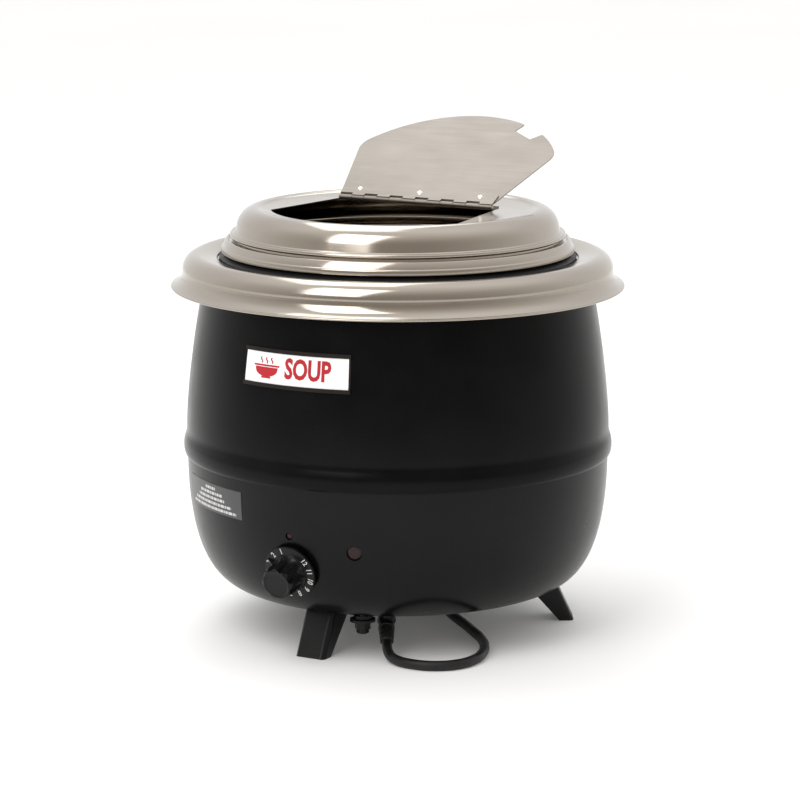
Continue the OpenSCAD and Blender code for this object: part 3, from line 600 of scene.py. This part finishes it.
class KETTLE_OT_cord(bpy.types.Operator):
    """Lays the supply cord from its ribbed boot to its coil and plug"""

    bl_idname = "kettle.cord"
    bl_label = "Supply cord"

    def execute(self, context):
        rubber = cord_rubber("extruded cord rubber", colours("rubber"))
        route = cord_route()
        curve = bpy.data.curves.new("supply_cord", "CURVE")
        curve.dimensions = "3D"
        curve.resolution_u = 5
        curve.bevel_depth = sizes().cord_radius
        curve.bevel_resolution = 4
        spline = curve.splines.new("BEZIER")
        spline.bezier_points.add(len(route) - 1)
        for point, place in zip(spline.bezier_points, route):
            point.co = place
            point.handle_left_type = point.handle_right_type = "AUTO"
        curve.materials.append(rubber)
        cord = bpy.data.objects.new("supply_cord", curve)
        context.scene.collection.objects.link(cord)
        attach(cord, "kettle")
        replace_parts(cord, "cord_lead", "cord_coil", "cord_tail")
        boot = self.boot(rubber)
        plug = self.plug(rubber)
        finish(
            plated_metal("nickel plated brass", "#cdc6b6", "#a89f8c", 0.18, 0.34), "plug_pins"
        )
        return {"FINISHED"}

    @staticmethod
    def boot(rubber):
        """Tapered sleeve whose ribs let it bend."""
        length = (BOOT_END - BOOT_START).length
        profile = [(0.0, 0.0), (5.6 * MM, 0.0), (6.5 * MM, 0.6 * MM), (6.5 * MM, length * 0.22)]
        for i in range(6):
            at = length * (0.26 + 0.115 * i)
            r = (6.2 - 0.17 * i) * MM
            profile += [
                (r - 0.9 * MM, at), (r - 0.9 * MM, at + 0.8 * MM), (r, at + 1.0 * MM),
                (r - 0.05 * MM, at + 1.9 * MM),
            ]
        profile += [(5.0 * MM, length - 0.8 * MM), (4.6 * MM, length), (0.0, length)]
        turn = (BOOT_END - BOOT_START).to_track_quat("Z", "Y").to_matrix().to_4x4()
        place = Matrix.Translation(BOOT_START) @ turn
        verts, faces = lofted(turned(profile, 40), False, False)
        piece = make_mesh(
            "cord_boot_ribbed", [place @ v for v in verts], faces, rubber, "kettle"
        )
        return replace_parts(piece, "cord_boot")

    @staticmethod
    def plug(rubber):
        """Moulded round plug: a ribbed neck, a waisted grip with flats, and a broad nose."""
        start = Vector((-50, 149, 18)) * MM
        profile = [(0, 0), (5.2, 0), (5.8, 0.6)]
        for i in range(4):
            profile += [(5.9 + 0.35 * i, 1.5 + 3 * i), (5.0 + 0.35 * i, 2.2 + 3 * i),
                        (5.0 + 0.35 * i, 3.2 + 3 * i), (6.1 + 0.35 * i, 3.9 + 3 * i)]
        profile += [(7.2, 14), (11.6, 18), (15, 22), (16.4, 26.5), (17.2, 30), (17.2, 31.4),
                    (17.8, 32), (17.8, 42.4), (17.2, 43.6), (16.2, 44), (0, 44)]
        count = 64
        rings = []
        for r, z in profile:
            ring = []
            for k in range(count):
                a = 2 * math.pi * k / count
                flute = 0.0
                if 19 < z < 31:
                    flute = 0.5 * max(0.0, math.cos(a * 16)) * math.sin(math.pi * (z - 19) / 12)
                ring.append(
                    Vector((-z, (r - flute) * math.cos(a), (r - flute) * math.sin(a))) * MM + start
                )
            rings.append(ring)
        verts, faces = lofted(rings, False, False)
        faces = [tuple(reversed(f)) for f in faces]
        piece = make_mesh("mains_plug", verts, faces, rubber, "kettle", 40)
        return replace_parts(piece, "plug_body")


# ---------------------------------------------------------------- finishes of the CAD nodes
class KETTLE_OT_casings(bpy.types.Operator):
    """Enamels the casings and finishes the feet"""

    bl_idname = "kettle.casings"
    bl_label = "Casings and feet"

    def execute(self, context):
        upper = wrinkle_enamel(
            "baked fine texture enamel", colours("enamel"), sizes().enamel_grain, 0.23, 0.1
        )
        lower = wrinkle_enamel(
            "baked satin enamel", colours("enamel"), 0.8 * sizes().enamel_grain, 0.25, 0.17
        )
        verts, faces = lathe(sheet(self.upper_outline()[::-1], CASING_T))
        shell = make_mesh("upper_shell", verts, faces, upper, "kettle")
        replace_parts(shell, "upper_casing")
        outer, inner = self.bowl_outline(0.0), self.bowl_outline(CASING_T)
        verts, faces = lathe(outer + inner[::-1])
        bowl = make_mesh("lower_bowl", verts, faces, lower, "kettle")
        for (z, azimuth), r in ((LAMP_AT, 6.1), (SMALL_LAMP_AT, 3.1), (DIAL_AT, 5.5)):
            self.drill(bowl, on_bowl(z, azimuth), r * MM)
        bowl.data.set_sharp_from_angle(angle=math.radians(35))
        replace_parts(bowl, "lower_casing")
        phenolic = moulded_plastic("moulded phenolic", colours("plastic"), 0.9 * MM, 0.36)
        finish(
            phenolic, "foot_front", "foot_rear_right", "foot_rear_left", "cord_gland",
            "gland_nut", "tie_nuts", "thermal_cutout",
        )
        return {"FINISHED"}

    @staticmethod
    def upper_outline():
        """The upper casing's outline from its hem over the bead to its top flange."""
        bead = [(170.9, 141), (171.9, 142.5), (172.6, 145.5), (172.7, 148.5), (172.4, 152),
                (171.6, 155), (170.6, 158), (170.1, 161), (170.1, 165)]
        wall = [(upper_r(z * MM) / MM, z) for z in range(168, 276, 4)]
        flange = arc(148.6, 290.2, 6, 0, 90, 8) + [(138, 296.2)]
        return rounded(bead) + wall + [(156.2, 276.4)] + flange

    @staticmethod
    def bowl_outline(inset):
        """The lower casing's outline from its top to its flat floor, inset from its outside."""
        low, steps = 32.5 + inset, 48
        outline = [(169.6 - inset, 155.5)]
        for i in range(steps + 1):
            t = math.sin(math.pi / 2 * i / steps)
            z = 145 - (145 - low) * t
            outline.append((100 + (69.6 - inset) * (1 - t**2.3) ** (1 / 3.54), z))
        return [*outline, (0, low)]

    @staticmethod
    def drill(piece, place, radius):
        """Cuts a round hole through the casing where a lamp or spindle stands."""
        rings = [
            [place @ (v + Vector((0, 0, z * MM))) for v in turned([(radius, 0)], 48)[0]]
            for z in (-8, 8)
        ]
        verts, faces = lofted(rings)
        mesh = bpy.data.meshes.new("drill")
        mesh.from_pydata([tuple(v) for v in verts], [], faces)
        tool = bpy.data.objects.new("drill", mesh)
        bpy.context.scene.collection.objects.link(tool)
        cut = piece.modifiers.new("hole", "BOOLEAN")
        cut.operation, cut.object, cut.solver = "DIFFERENCE", tool, "EXACT"
        bpy.context.view_layer.update()
        graph = bpy.context.evaluated_depsgraph_get()
        piece.data = bpy.data.meshes.new_from_object(piece.evaluated_get(graph))
        piece.modifiers.clear()
        bpy.data.objects.remove(tool)


class KETTLE_OT_steel(bpy.types.Operator):
    """Polishes the ring, pot and lid and brushes the flap"""

    bl_idname = "kettle.steel"
    bl_label = "Stainless steel"

    def execute(self, context):
        spacing = sizes().polish_spacing
        polished = turned_steel(
            "lathe polished stainless", colours("steel"), spacing, 0.1, 0.18, 0.004 * MM
        )
        for name, node, outline, thickness in (
            ("ring_pressing", "top_ring", self.ring_outline(), SHEET_T),
            ("pot_pressing", "soup_pot", self.pot_outline(), -SHEET_T),
        ):
            verts, faces = welded(*lathe(sheet(outline, thickness)))
            piece = make_mesh(
                name, verts, faces, polished, "pot" if node == "soup_pot" else "kettle",
            )
            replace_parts(piece, node)
        verts, faces = self.lid_shape()
        lid = make_mesh("lid_pressing", verts, faces, polished, "lid_plate")
        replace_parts(lid, "lid")
        brushed = brushed_sheet(
            "brushed stainless", colours("sheet"), "#8b857d", sizes().brush_spacing, 0.46, 0.58
        )
        finish(brushed, "flap", "hinge_leaf_fixed", "hinge_leaf_moving")
        finish(
            plated_metal("polished stainless rivet", "#e4e0da", "#cbc6be", 0.12, 0.24),
            "lid_rivets", "flap_rivets", "hinge_pin",
        )
        return {"FINISHED"}

    @staticmethod
    def ring_outline():
        """The top ring from its ledge over the shoulder to its rolled lip."""
        collar = [(144, 297.4), (144, 298.2), (144.3, 299), (144.9, 299.7), (146, 300.3)]
        flare = [(172.5, 289), (172.9, 285.2), (174.6, 281.6), (177.2, 278.9), (179.8, 277.3)]
        return (
            [(138, 297), (143.2, 297)]
            + rounded(collar)
            + arc(159.5, 289.5, 13, 90, 0, 28)
            + rounded(flare)
            + arc(180.7, 276.2, 0.8, 70, -60, 5)
        )

    @staticmethod
    def pot_outline():
        """The soup pot from its rolled rim over the lid's seat down to its floor."""
        return (
            [(141, 304), (141, 307), (140.8, 307.7), (140.2, 308.2), (139.7, 308.5)]
            + [(137.6, 313.5), (137.1, 313.9), (136.2, 314), (135.5, 313.5), (135.1, 312.6)]
            + [(134.6, 312.1), (133.8, 312), (124, 312)]
            + arc(124, 306.2, 5.8, 90, 180, 10)
            + [(118.2, z) for z in range(300, 91, -15)]
            + arc(98.2, 90.8, 20, 0, -90, 12)
            + [(60, 70.8), (0, 70.8)]
        )

    def lid_shape(self):
        """The lid: a lathe-formed dome and bead round a flat top with the ladle opening."""
        flat_top = 337

        def dome(depth):
            """The step and dome, depth millimetres inside the lid's outside."""
            step = [(104.5, flat_top - depth), (107, 337.4 - depth), (109.5, 338.35 - depth)]
            return rounded(step) + arc(112.5, 322.3, 16.5 - depth, 90, 12, 24)

        hem = [(132.0, 314.7), (132.1, 312.5), (131.9, 312.3), (131.5, 312.5)]
        outline = (
            dome(0) + [(130, 320)] + arc(132.2, 317.2, 2, 118, -100, 16)
            + hem + [(131.4, 317), (129.3, 320)] + dome(SHEET_T)[::-1]
        )
        count = 256
        rings = turned([(r * MM, z * MM) for r, z in outline], count)
        verts, faces = lofted(rings, False, False)
        faces = [tuple(reversed(f)) for f in faces]
        edge = self.opening_outline()
        for ring, z, flip in ((rings[0], flat_top, False), (rings[-1], flat_top - SHEET_T, True)):
            outside = [Vector((v.x, v.y, 0)) for v in ring]
            loops = [outside, [Vector((x, y, 0)) * MM for x, y in edge]]
            flat = [v for loop in loops for v in loop]
            start = len(verts)
            verts += [Vector((v.x, v.y, z * MM)) for v in flat]
            for tri in geometry.tessellate_polygon(loops):
                a, b, c = (flat[i] for i in tri)
                up = (b - a).cross(c - a).z > 0
                faces.append(tuple(start + i for i in (tri if up != flip else reversed(tri))))
        low, high = len(verts) - len(edge), len(verts) - 2 * len(edge) - count
        for i in range(len(edge)):
            n = (i + 1) % len(edge)
            faces.append((high + i, high + n, low + n, low + i))
        return welded(verts, faces)

    @staticmethod
    def opening_outline():
        """Outline of the lid's opening: straight at the hinge, round at the front."""
        half, back, slope, r, corner = 72.5, 31.1, 0.13, 101.5, 2.0
        along = Vector((slope, 1)).normalized()
        out = Vector((along.y, -along.x))
        base = Vector((half, -back)) - corner * out
        b = base.dot(along)
        reach = -b + math.sqrt(b * b - base.dot(base) + (r - corner) ** 2)
        middle = base + reach * along
        turn = math.degrees(math.atan2(middle.y, middle.x))
        right = [(half, -back)]
        right += arc(middle.x, middle.y, corner, -math.degrees(math.atan(slope)), turn, 10)
        right += arc(0, 0, r, turn, 90, 40)[1:]
        return [(x, -y) for x, y in right + [(-x, y) for x, y in right[-2::-1]]]


class KETTLE_OT_heater(bpy.types.Operator):
    """Finishes the water well, heater, thermostat and wiring"""

    bl_idname = "kettle.heater"
    bl_label = "Well and heater"

    def execute(self, context):
        finish(moulded_plastic("heat resistant coating", "#161617", 1.2 * MM, 0.5), "water_well")
        finish(moulded_plastic("moulded silicone rubber", "#0b0b0b", 1 * MM, 0.6), "well_gasket")
        finish(
            plated_metal("bright zinc plate", "#c4c6c8", "#9c9fa2", 0.22, 0.45),
            "well_lugs", "tie_studs", "element_clamp", "clamp_nut", "thermostat_bracket",
            "thermostat_screws", "dial_spindle", "foot_screws",
        )
        finish(plated_metal("rolled aluminium", "#c9cbcc", "#b1b3b5", 0.3, 0.45), "heat_spreader")
        finish(
            plated_metal("heat tinted sheath", "#7b716a", "#544b4a", 0.35, 0.55), "heating_element"
        )
        finish(
            moulded_plastic("moulded nylon", "#d9d3c5", 1 * MM, 0.45),
            "thermostat", "terminal_block", "pilot_body", "small_lamp_body",
        )
        finish(moulded_plastic("silicone sleeving", "#7a3226", 0.8 * MM, 0.5), "wiring")
        return {"FINISHED"}


# ---------------------------------------------------------------- dial and lamps
DIAL_STEPS = 26.5  # degrees from one numeral to the next


class KETTLE_OT_dial(bpy.types.Operator):
    """Builds the thermostat dial with its fluted grip, pointer and numerals"""

    bl_idname = "kettle.dial"
    bl_label = "Dial"

    def execute(self, context):
        phenolic = moulded_plastic(
            "polished phenolic", colours("plastic"), 0.9 * MM, 0.24, 0.01 * MM
        )
        ink = moulded_plastic("white filled engraving", "#d8d8d6", 0.5 * MM, 0.5)
        place = on_bowl(*DIAL_AT)
        verts, faces = self.moulding()
        knob = make_mesh(
            "dial_moulding", [place @ (v * MM) for v in verts], faces, phenolic, "dial_knob",
            32,
        )
        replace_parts(knob, "dial")
        parts = []
        for n in range(1, 13):
            angle = 54 + DIAL_STEPS * (12 - n)
            out_to_skirt = Matrix.Translation((0, 18.3, 5.06))
            turn = Matrix.Rotation(-math.radians(angle), 4, "Z") @ out_to_skirt
            text, shapes = letters(str(n), sizes().numeral_height / MM * 1.4, 0.11, 0.86)
            parts.append(([turn @ v for v in text], shapes))
        verts, faces = merged(*parts)
        make_mesh(
            "dial_numerals", [place @ (v * MM) for v in verts], faces, ink, "dial_knob",
        )
        return {"FINISHED"}

    @staticmethod
    def moulding():
        """Skirt, fluted grip and pointer in millimetres, +Z out of the casing."""
        skirt = lofted(
            turned(
                [(0, 2.2), (19.3, 2.2), (19.6, 2.0), (21.4, 2.0), (21.8, 2.4), (21.8, 4.3),
                 (21.6, 4.8), (21.1, 5.0), (16.0, 5.0), (15.5, 5.2), (15.2, 5.8), (0, 5.8)],
                96,
            ),
            False,
            False,
        )
        rings = []
        steps = 144
        for r, z, deep in [
            (15.2, 5.4, 0.2), (14.8, 6.4, 0.9), (14.4, 8.5, 1.6), (14.0, 12, 1.9), (13.5, 17, 2.0),
            (13.1, 21.5, 1.9), (12.9, 23.6, 1.3), (12.5, 24.8, 0.6), (11.9, 25.3, 0.15),
            (11.0, 25.5, 0.0), (10.2, 25.35, 0.0), (9.8, 25.1, 0.0), (0.01, 25.1, 0.0),
        ]:
            ring = []
            for k in range(steps):
                a = 2 * math.pi * k / steps
                lobe = 0.5 - 0.5 * math.cos(a * 8)
                reach = r - deep * lobe**1.6
                ring.append(Vector((reach * math.cos(a), reach * math.sin(a), z)))
            rings.append(ring)
        grip = lofted(rings, True, False)
        turn = Matrix.Rotation(math.radians(60), 4, "Z")
        fin = [
            Vector(p)
            for p in [(-1.2, 12, 5), (1.2, 12, 5), (0.5, 20.4, 5), (-0.5, 20.4, 5),
                      (-0.8, 12, 10.5), (0.8, 12, 10.5), (0.35, 20.2, 6.0), (-0.35, 20.2, 6.0)]
        ]
        pointer = (
            [turn @ v for v in fin],
            [(0, 3, 2, 1), (4, 5, 6, 7), (0, 1, 5, 4), (1, 2, 6, 5), (2, 3, 7, 6), (3, 0, 4, 7)],
        )
        return merged(skirt, grip, pointer)


class KETTLE_OT_lamps(bpy.types.Operator):
    """Finishes the two pilot lamps"""

    bl_idname = "kettle.lamps"
    bl_label = "Pilot lamps"

    def execute(self, context):
        finish(lamp_glass("translucent polycarbonate", colours("lens")), "pilot_lens", "small_lens")
        return {"FINISHED"}


# ---------------------------------------------------------------- card and label
CARD_MID_Z = 231.8 * MM
CARD_MEAN_R = 163.6 * MM


class KETTLE_OT_labels(bpy.types.Operator):
    """Prints the name card and the notice label with plain generic marks"""

    bl_idname = "kettle.labels"
    bl_label = "Card and label"

    def execute(self, context):
        finish(printed_film("laminated card", colours("card"), 0.3), "name_card")
        finish(moulded_plastic("extruded holder strip", "#17100f", 0.8 * MM, 0.4), "card_holder")
        finish(printed_film("dark polyester film", colours("film"), 0.35), "rating_label")
        ink = printed_film("screen printed ink", colours("ink"), 0.35)
        pale = printed_film("pale screen printed ink", "#cdcdcd", 0.4)
        verts, faces = sliced(*merged(self.bowl(), self.word()), 2.0)
        placed = [Vector((v.x, v.y + CARD_MID_Z / MM, 0)) * MM for v in verts]
        make_mesh(
            "card_print", wrapped(placed, upper_r, 1.24 * MM, CARD_MEAN_R), faces, ink, "kettle",
        )
        verts, faces = self.notice()
        placed = [Vector((v.x, v.y, 0)) * MM for v in verts]
        make_mesh(
            "notice_print", wrapped(placed, lower_r, 0.3 * MM, CASING_R), faces, pale, "kettle",
        )
        return {"FINISHED"}

    @staticmethod
    def strip(points, width):
        """A ribbon of even width along flat points."""
        verts, faces = [], []
        for i, p in enumerate(points):
            a, b = points[max(i - 1, 0)], points[min(i + 1, len(points) - 1)]
            d = (Vector(b) - Vector(a)).normalized()
            n = Vector((-d.y, d.x)) * width / 2
            verts += [Vector((p[0] + n.x, p[1] + n.y, 0)), Vector((p[0] - n.x, p[1] - n.y, 0))]
        for i in range(len(points) - 1):
            faces.append((2 * i, 2 * i + 1, 2 * i + 3, 2 * i + 2))
        return verts, faces

    def bowl(self):
        """A steaming soup bowl."""
        middle, base = -24.5, -6.8
        parts = []
        across = range(-11, 12)
        depths = [7.2 * math.sqrt(max(0.0, 1 - (x / 11) ** 2)) ** 0.8 for x in across]
        verts = [Vector((middle + x, 0.4, 0)) for x in across]
        verts += [Vector((middle + x, 0.35 - d, 0)) for x, d in zip(across, depths)]
        parts.append((verts, [(i, i + 23, i + 24, i + 1) for i in range(22)]))
        parts.append(box_flat(middle - 4.5, base - 1.3, middle + 4.5, base + 0.2))
        parts.append(box_flat(middle - 12.2, 0.9, middle + 12.2, 2.3))
        for x in (-5, 0, 5):
            wave = [(middle + x + 0.9 * math.sin(i * 0.9), 3.4 + i * 0.62) for i in range(8)]
            parts.append(self.strip(wave, 1.1))
        return merged(*parts)

    def word(self):
        """The word on the card in heavy condensed letters."""
        text, shapes = letters("SOUP", 21.0, 0.75, 0.74)
        middle = Vector((12.0, 0.2, 0))
        return [v + middle for v in text], shapes

    def notice(self):
        """Rows of short dashes in place of lettering."""
        parts = []
        centre = -31.4 / 180 * math.pi * CASING_R / MM
        for row, (half, z) in enumerate(
            [(8, 127.4), (18, 123.5), (22, 119.5), (30, 115.5), (36, 111.5)]
        ):
            x, step = centre - half, 0
            while x < centre + half:
                width = (2.3, 4.1, 1.6, 3.2, 5.0)[(step + row) % 5]
                parts.append(box_flat(x, z - 1.1, min(x + width, centre + half), z + 1.1))
                x += width + 0.9
                step += 1
        return merged(*parts)


def box_flat(x0, y0, x1, y1):
    """A flat rectangle as (vertices, faces)."""
    return (
        [Vector((x0, y0, 0)), Vector((x1, y0, 0)), Vector((x1, y1, 0)), Vector((x0, y1, 0))],
        [(0, 1, 2, 3)],
    )


# ---------------------------------------------------------------- stage
class KETTLE_OT_stage(bpy.types.Operator):
    """Lays the pale floor and hangs the soft lights"""

    bl_idname = "kettle.stage"
    bl_label = "Floor and lights"

    def execute(self, context):
        scene = context.scene
        scene.view_settings.view_transform = "Standard"
        half = sizes().floor_width / 2
        mesh = bpy.data.meshes.new("floor")
        corners, faces = box_flat(-half, -half, half, half)
        mesh.from_pydata(corners, [], faces)
        mesh.materials.append(studio_floor("matt white acrylic", colours("floor")))
        floor = bpy.data.objects.new("floor", mesh)
        scene.collection.objects.link(floor)
        self.surroundings(scene)
        self.strip_light()
        self.key_light()
        return {"FINISHED"}

    @staticmethod
    def soft_box(name, width, length, watts):
        """A rectangular area light, for its caller to place."""
        data = bpy.data.lights.new(name, "AREA")
        data.shape = "RECTANGLE"
        data.size, data.size_y = width, length
        data.energy = watts
        lamp = bpy.data.objects.new(name, data)
        bpy.context.scene.collection.objects.link(lamp)
        return lamp

    def strip_light(self):
        """A long soft box under the ceiling, running back over the kettle from its front."""
        lamp = self.soft_box("soft_box", 0.62, 2.4, 9)
        back, right = Vector(TOWARDS_BACK), Vector(TOWARDS_RIGHT)
        lamp.location = back * 1.25 - right * 0.16 + Vector((0, 0, 1.54))
        lamp.rotation_euler = (0, 0, math.radians(VIEW_AZIMUTH - 8))

    def key_light(self):
        """A soft box at the front left, which gives the steel its block of light."""
        lamp = self.soft_box("key_box", 1.2, 2.0, 24)
        lamp.location = (-0.17, -1.63, 1.77)
        aim = Vector((0, 0, 0.3)) - lamp.location
        lamp.rotation_euler = aim.to_track_quat("-Z", "Y").to_euler()

    @staticmethod
    def surroundings(scene):
        """A pale room: warm grey in front, lighter behind and overhead."""
        world = bpy.data.worlds.new("studio")
        world.use_nodes = True
        tree = world.node_tree
        tree.nodes.clear()
        where = add(tree, "ShaderNodeTexCoord").outputs["Generated"]
        parts = add(tree, "ShaderNodeSeparateXYZ", links={"Vector": where})
        back = add(
            tree,
            "ShaderNodeVectorMath",
            {"operation": "DOT_PRODUCT", 1: (*TOWARDS_BACK[:2], 0.45)},
            {0: where},
        ).outputs["Value"]
        shade = add(
            tree,
            "ShaderNodeMapRange",
            {"From Min": -0.8, "From Max": 0.9, "To Min": 0.0, "To Max": 1.0},
            {"Value": back},
        ).outputs["Result"]
        tone = ramp(tree, shade, [(0.0, "#b4aea6"), (0.5, "#e6e3df"), (0.8, "#ffffff")])
        overhead = add(
            tree,
            "ShaderNodeMapRange",
            {"From Min": 0.55, "From Max": 0.95, "To Min": 1.02, "To Max": 1.3},
            {"Value": parts.outputs["Z"]},
        ).outputs["Result"]
        background = add(tree, "ShaderNodeBackground", links={"Color": tone, "Strength": overhead})
        add(tree, "ShaderNodeOutputWorld", links={"Surface": background.outputs["Background"]})
        scene.world = world


# ---------------------------------------------------------------- panel and registration
OPERATORS = (
    KETTLE_OT_camera,
    KETTLE_OT_cord,
    KETTLE_OT_casings,
    KETTLE_OT_steel,
    KETTLE_OT_heater,
    KETTLE_OT_dial,
    KETTLE_OT_lamps,
    KETTLE_OT_labels,
    KETTLE_OT_stage,
)


class KETTLE_PT_panel(bpy.types.Panel):
    """Lists the kettle's settings and build steps"""

    bl_idname = "KETTLE_PT_panel"
    bl_label = "Soup kettle"
    bl_space_type = "VIEW_3D"
    bl_region_type = "UI"
    bl_category = "Kettle"

    def draw(self, context):
        for group in (context.scene.kettle_sizes, context.scene.kettle_colours):
            for name in group.__annotations__:
                self.layout.prop(group, name)
        for operator in OPERATORS:
            self.layout.operator(operator.bl_idname)


CLASSES = (KettleSizes, KettleColours, *OPERATORS, KETTLE_PT_panel)


def register():
    for cls in CLASSES:
        bpy.utils.register_class(cls)
    bpy.types.Scene.kettle_sizes = bpy.props.PointerProperty(type=KettleSizes)
    bpy.types.Scene.kettle_colours = bpy.props.PointerProperty(type=KettleColours)


def unregister():
    del bpy.types.Scene.kettle_colours
    del bpy.types.Scene.kettle_sizes
    for cls in reversed(CLASSES):
        bpy.utils.unregister_class(cls)


def main():
    register()
    for operator in OPERATORS:
        group, name = operator.bl_idname.split(".")
        getattr(getattr(bpy.ops, group), name)()


if __name__ == "__main__":
    main()
